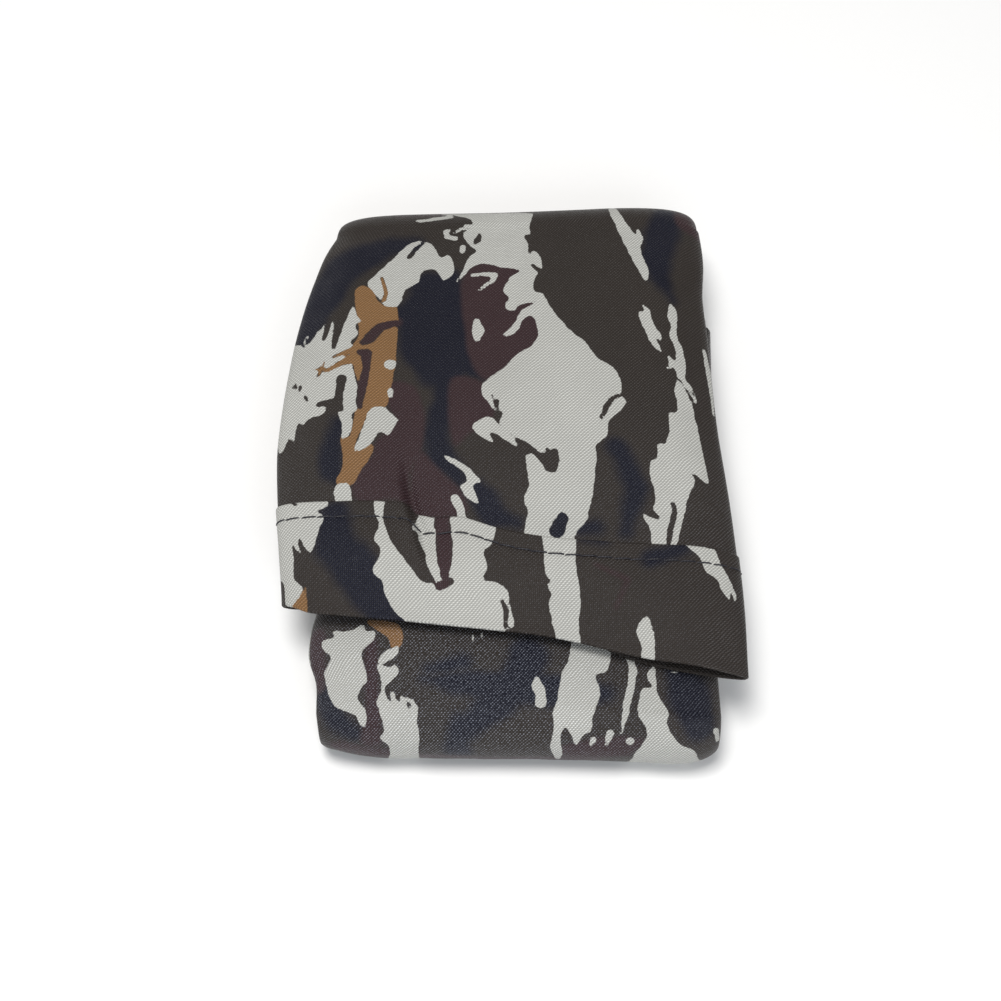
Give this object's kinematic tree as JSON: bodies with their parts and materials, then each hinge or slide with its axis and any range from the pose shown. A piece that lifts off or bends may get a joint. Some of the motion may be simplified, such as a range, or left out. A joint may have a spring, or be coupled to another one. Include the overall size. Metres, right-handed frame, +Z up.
{
  "type": "hand warmer muff",
  "caption": "Insulated camouflage fabric hand muff, a flat padded tube open at both ends with stitched cuffs, folded in thirds into a bundle.",
  "frame": {"origin": "centre of the folded bundle's bounding box, on the surface it rests on", "axes": "+Z up through the folded layers; -Y towards the open cuff of the top flap; +Y towards the back fold; +X along the folds"},
  "size_m": [0.1164, 0.16, 0.0286],
  "materials": {
    "camo_oxford": "coated plain weave with a printed camouflage of pale grey, olive, charcoal, navy, maroon and tan, slight sheen",
    "cuff_oxford": "the same coated printed cloth, cut as a separate strip",
    "wadding": "matt polyester fibre wadding",
    "fleece_lining": "matt brushed fleece",
    "seam_allowance": "raw cloth edge inside the side seam",
    "black_thread": "black polyester sewing thread"
  },
  "bodies": {
    "base": {"base_shell": "camo_oxford", "base_wadding": "wadding", "base_lining": "fleece_lining", "base_side_seam": "seam_allowance", "base_cuff_band": "cuff_oxford", "base_cuff_thread": "black_thread", "front_fold_shell": "camo_oxford", "front_fold_lining": "fleece_lining"},
    "middle": {"middle_shell": "camo_oxford", "middle_wadding": "wadding", "middle_lining": "fleece_lining", "middle_side_seam": "seam_allowance", "back_fold_shell": "camo_oxford", "back_fold_lining": "fleece_lining"},
    "flap": {"flap_shell": "camo_oxford", "flap_wadding": "wadding", "flap_lining": "fleece_lining", "flap_side_seam": "seam_allowance", "flap_cuff_band": "cuff_oxford", "flap_cuff_thread": "black_thread"}
  },
  "joints": [
    {"name": "front_fold", "type": "hinge", "parent": "base", "child": "middle", "pos_m": [0, -0.0736, 0.0094], "axis": [1, 0, 0], "range_deg": [0, 179], "deforming": ["front_fold_shell", "front_fold_lining"]},
    {"name": "back_fold", "type": "hinge", "parent": "middle", "child": "flap", "pos_m": [0, 0.0736, 0.0192], "axis": [-1, 0, 0], "range_deg": [0, 179], "deforming": ["back_fold_shell", "back_fold_lining"]}
  ]
}
